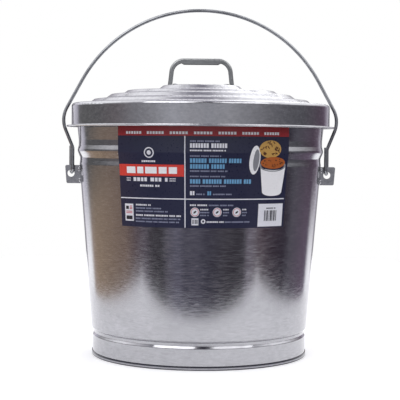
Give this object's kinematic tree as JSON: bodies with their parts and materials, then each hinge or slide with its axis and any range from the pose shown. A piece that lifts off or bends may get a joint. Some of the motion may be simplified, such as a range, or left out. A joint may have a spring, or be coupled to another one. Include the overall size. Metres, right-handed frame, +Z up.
{
  "type": "galvanised steel can with push-on lid and swing bail",
  "caption": "Tapered galvanised steel waste can with a stepped push-on lid, riveted lid handle, printed label and a wire bail that swings over the lid.",
  "frame": {"origin": "bottom centre of the fold round the foot that the can stands on", "axes": "+Z up; -Y is the front with the label; +X is the right-hand ear seen from the front"},
  "size_m": [0.427, 0.412, 0.5316],
  "materials": {
    "galvanised_sheet": "hot-dip galvanised rolled sheet, semi-bright",
    "galvanised_wire": "drawn galvanised wire, semi-bright",
    "rivet_steel": "zinc plated, smooth",
    "label_film": "printed adhesive film, dark blue with red and white panels"
  },
  "bodies": {
    "can": {"can_body": "galvanised_sheet", "rim_wire": "galvanised_wire", "can_bottom": "galvanised_sheet", "label": "label_film", "ear_left": "galvanised_sheet", "ear_right": "galvanised_sheet", "ear_rivet_left_front_low": "rivet_steel", "ear_rivet_left_front_high": "rivet_steel", "ear_rivet_left_back_low": "rivet_steel", "ear_rivet_left_back_high": "rivet_steel", "ear_rivet_right_front_low": "rivet_steel", "ear_rivet_right_front_high": "rivet_steel", "ear_rivet_right_back_low": "rivet_steel", "ear_rivet_right_back_high": "rivet_steel"},
    "bail": {"bail": "galvanised_wire"},
    "lid": {"lid": "galvanised_sheet", "lid_handle": "galvanised_sheet", "handle_rivet_left_front": "rivet_steel", "handle_rivet_left_back": "rivet_steel", "handle_rivet_right_front": "rivet_steel", "handle_rivet_right_back": "rivet_steel"}
  },
  "joints": [
    {"name": "bail_swing", "type": "hinge", "parent": "can", "child": "bail", "pos_m": [0, 0, 0.2856], "axis": [-1, 0, 0], "range_deg": [0, 130]},
    {"name": "lid_tip", "type": "hinge", "parent": "can", "child": "lid", "pos_m": [0, 0.1952, 0.3836], "axis": [-1, 0, 0], "range_deg": [0, 8]}
  ],
  "couplings": [
    {"joint": "lid_tip", "follows": "bail_swing", "ratio": 0.061538}
  ]
}
